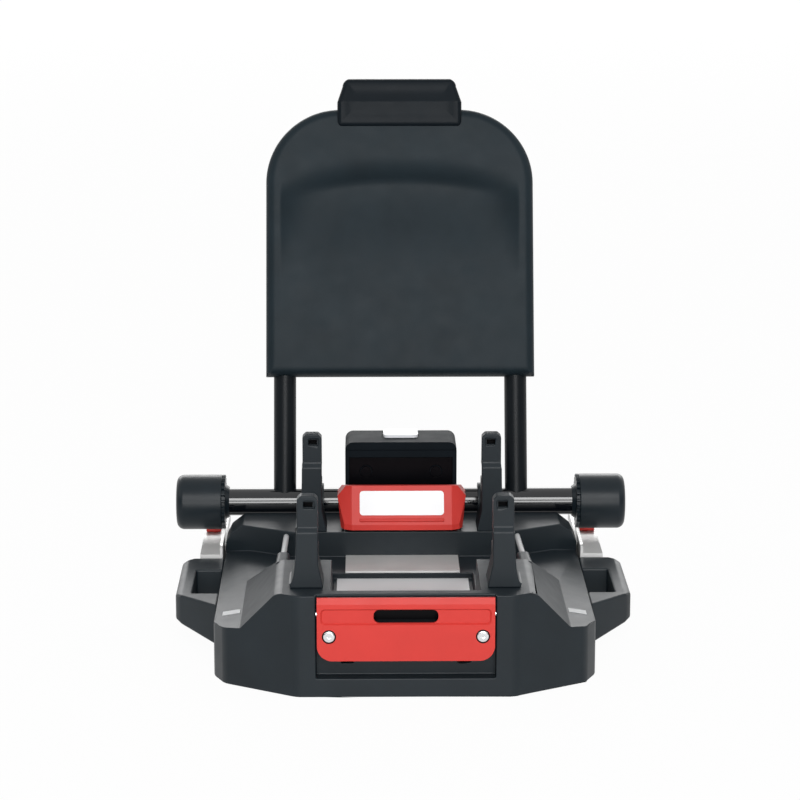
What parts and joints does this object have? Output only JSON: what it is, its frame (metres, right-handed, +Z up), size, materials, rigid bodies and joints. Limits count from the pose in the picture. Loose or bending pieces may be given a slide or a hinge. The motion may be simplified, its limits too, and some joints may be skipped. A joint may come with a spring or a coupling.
{
  "type": "infant carrier base",
  "caption": "Base that locks to a vehicle's anchor bars and holds an infant carrier, with hook towers, a red release handle and lever, and a folding rebound panel.",
  "frame": {"origin": "centre of the underside of the shell, on the surface that the base rests on", "axes": "+X to the right seen from the front handle, +Y towards the seat back, +Z up"},
  "size_m": [0.3362, 0.3726, 0.3761],
  "materials": {
    "black_plastic": "fine grained moulded polypropylene",
    "soft_grip": "soft touch rubber",
    "seat_rubber": "ribbed anti-slip rubber",
    "red_plastic": "satin moulded red plastic",
    "label_film": "satin printed film, left bare",
    "white_plastic": "satin white plastic",
    "black_tube": "gloss black powder coat",
    "zinc_steel": "zinc plated, satin",
    "bright_steel": "bright plated"
  },
  "bodies": {
    "base": {"base_shell": "black_plastic", "bottom_plate": "black_plastic", "seat_pad": "seat_rubber", "floor_plate": "zinc_steel", "info_label": "label_film", "belt_guide_left": "black_plastic", "belt_guide_right": "black_plastic", "front_hook_left": "black_plastic", "front_hook_right": "black_plastic", "rear_hook_left": "black_plastic", "rear_hook_right": "black_plastic", "side_tie_rods": "bright_steel", "side_marks": "zinc_steel", "handle_pins": "bright_steel", "guide_rails": "zinc_steel", "tube_bracket_left": "black_plastic", "tube_bracket_right": "black_plastic", "lever_bracket": "black_plastic", "lever_pin": "bright_steel", "tilt_housing": "black_plastic", "tilt_rear_cover": "black_plastic", "tilt_screws": "bright_steel", "base_screws": "bright_steel", "shoe_pin": "bright_steel", "latch_springs": "bright_steel", "bolt_spring": "bright_steel", "button_spring": "bright_steel"},
    "handle": {"release_handle": "red_plastic", "handle_arm": "black_plastic", "handle_screws": "bright_steel"},
    "latch": {"latch_yoke": "bright_steel"},
    "lever": {"release_lever": "red_plastic", "lever_label": "label_film"},
    "brake_bolt": {"brake_bolt": "bright_steel"},
    "carriage": {"carriage_beam": "zinc_steel", "carriage_tongue": "zinc_steel", "anchor_arm_left": "zinc_steel", "anchor_arm_right": "zinc_steel", "jaw_pins": "bright_steel"},
    "jaw_left": {"anchor_jaw_left": "bright_steel"},
    "jaw_right": {"anchor_jaw_right": "bright_steel"},
    "slide_left": {"release_slide_left": "red_plastic"},
    "slide_right": {"release_slide_right": "red_plastic"},
    "rebound_frame": {"cross_tube": "black_tube", "post_left": "black_tube", "post_right": "black_tube", "brake_drum": "bright_steel", "panel_front": "black_plastic", "panel_back": "black_plastic", "top_grip": "black_plastic", "panel_screws": "bright_steel"},
    "knob_left": {"knob_left": "soft_grip", "knob_pinion_left": "soft_grip"},
    "knob_right": {"knob_right": "soft_grip", "knob_pinion_right": "soft_grip"},
    "button": {"tilt_button": "white_plastic"},
    "shoe": {"brake_shoe": "black_plastic"}
  },
  "joints": [
    {"name": "handle_hinge", "type": "hinge", "parent": "base", "child": "handle", "pos_m": [0, -0.126, 0.057], "axis": [-1, 0, 0], "range_deg": [0, 15], "stiffness_Nm_per_rad": 1, "springref_deg": -17.19},
    {"name": "latch_slide", "type": "slide", "parent": "base", "child": "latch", "axis": [0, 0, -1], "range_m": [0, 0.0104], "deforming": ["latch_springs"]},
    {"name": "lever_hinge", "type": "hinge", "parent": "base", "child": "lever", "pos_m": [0, 0.093, 0.083], "axis": [-1, 0, 0], "range_deg": [0, 20], "stiffness_Nm_per_rad": 0.6, "springref_deg": -11.46},
    {"name": "brake_bolt_slide", "type": "slide", "parent": "base", "child": "brake_bolt", "axis": [0, 0, 1], "range_m": [0, 0.0045], "deforming": ["bolt_spring"]},
    {"name": "carriage_slide", "type": "slide", "parent": "base", "child": "carriage", "axis": [0, 1, 0], "range_m": [0, 0.05]},
    {"name": "knob_left_turn", "type": "hinge", "parent": "base", "child": "knob_left", "pos_m": [-0.15, 0.1395, 0.066], "axis": [1, 0, 0], "range_deg": [0, 148]},
    {"name": "knob_right_turn", "type": "hinge", "parent": "base", "child": "knob_right", "pos_m": [0.15, 0.1395, 0.066], "axis": [1, 0, 0], "range_deg": [0, 148]},
    {"name": "rebound_tilt", "type": "hinge", "parent": "base", "child": "rebound_frame", "pos_m": [0, 0.1395, 0.066], "axis": [1, 0, 0], "range_deg": [0, 80]},
    {"name": "button_slide", "type": "slide", "parent": "base", "child": "button", "axis": [0, 0, -1], "range_m": [0, 0.0024], "stiffness_N_per_m": 1500, "springref_m": -0.001, "deforming": ["button_spring"]},
    {"name": "shoe_rock", "type": "hinge", "parent": "base", "child": "shoe", "pos_m": [0, 0.1415, 0.086], "axis": [-1, 0, 0], "range_deg": [0, 18]},
    {"name": "slide_left_travel", "type": "slide", "parent": "carriage", "child": "slide_left", "axis": [0, 1, 0], "range_m": [0, 0.008], "stiffness_N_per_m": 800, "springref_m": -0.002},
    {"name": "jaw_left_swing", "type": "hinge", "parent": "carriage", "child": "jaw_left", "pos_m": [-0.14, 0.1935, 0.0215], "axis": [-1, 0, 0], "range_deg": [0, 40]},
    {"name": "slide_right_travel", "type": "slide", "parent": "carriage", "child": "slide_right", "axis": [0, 1, 0], "range_m": [0, 0.008], "stiffness_N_per_m": 800, "springref_m": -0.002},
    {"name": "jaw_right_swing", "type": "hinge", "parent": "carriage", "child": "jaw_right", "pos_m": [0.14, 0.1935, 0.0215], "axis": [-1, 0, 0], "range_deg": [0, 40]}
  ],
  "couplings": [
    {"joint": "latch_slide", "follows": "handle_hinge", "m_per_rad": 0.0397},
    {"joint": "brake_bolt_slide", "follows": "lever_hinge", "m_per_rad": 0.01289},
    {"joint": "knob_left_turn", "follows": "carriage_slide", "rad_per_m": 51.546},
    {"joint": "knob_right_turn", "follows": "carriage_slide", "rad_per_m": 51.546},
    {"joint": "shoe_rock", "follows": "button_slide", "rad_per_m": 130.8},
    {"joint": "jaw_left_swing", "follows": "slide_left_travel", "rad_per_m": 87.2},
    {"joint": "jaw_right_swing", "follows": "slide_right_travel", "rad_per_m": 87.2}
  ]
}
